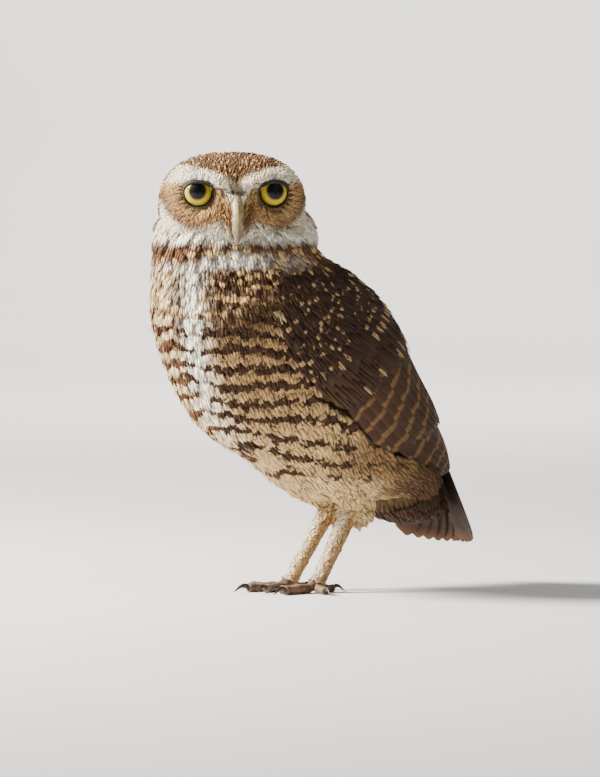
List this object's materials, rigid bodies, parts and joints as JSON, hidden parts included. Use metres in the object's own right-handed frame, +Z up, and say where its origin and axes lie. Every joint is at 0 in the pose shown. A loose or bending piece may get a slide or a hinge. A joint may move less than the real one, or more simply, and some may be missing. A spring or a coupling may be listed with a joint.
{
  "type": "burrowing owl",
  "caption": "Small long-legged owl standing upright, its round head turned to its left, with folded wings, a short tail and a barred breast.",
  "frame": {"origin": "on the floor under the middle of the owl's bounding box", "axes": "+Z up; the body faces -Y; +X is the owl's left"},
  "size_m": [0.103, 0.191, 0.2195],
  "materials": {
    "head_feathers": "soft brown feathers with buff spots and white brows and throat",
    "body_feathers": "soft buff feathers with dark brown bars",
    "flight_feathers": "dark brown feathers with pale spots and bars",
    "leg_feathers": "short buff feathers",
    "toe_skin": "scaly grey-brown skin",
    "claw_horn": "dark horn",
    "bill_horn": "olive horn",
    "eye": "wet yellow iris and black pupil"
  },
  "bodies": {
    "root": {"head": "head_feathers", "neck": "head_feathers", "torso": "body_feathers", "wing_left": "flight_feathers", "wing_right": "flight_feathers", "tail": "flight_feathers", "thigh_left": "body_feathers", "thigh_right": "body_feathers", "shank_left": "leg_feathers", "shank_right": "leg_feathers", "foot_left": "toe_skin", "foot_right": "toe_skin", "eye_left": "eye", "eye_right": "eye", "bill_upper": "bill_horn", "bill_lower": "bill_horn", "claw_inner_left": "claw_horn", "claw_middle_left": "claw_horn", "claw_outer_left": "claw_horn", "claw_hind_left": "claw_horn", "claw_inner_right": "claw_horn", "claw_middle_right": "claw_horn", "claw_outer_right": "claw_horn", "claw_hind_right": "claw_horn"}
  },
  "joints": []
}
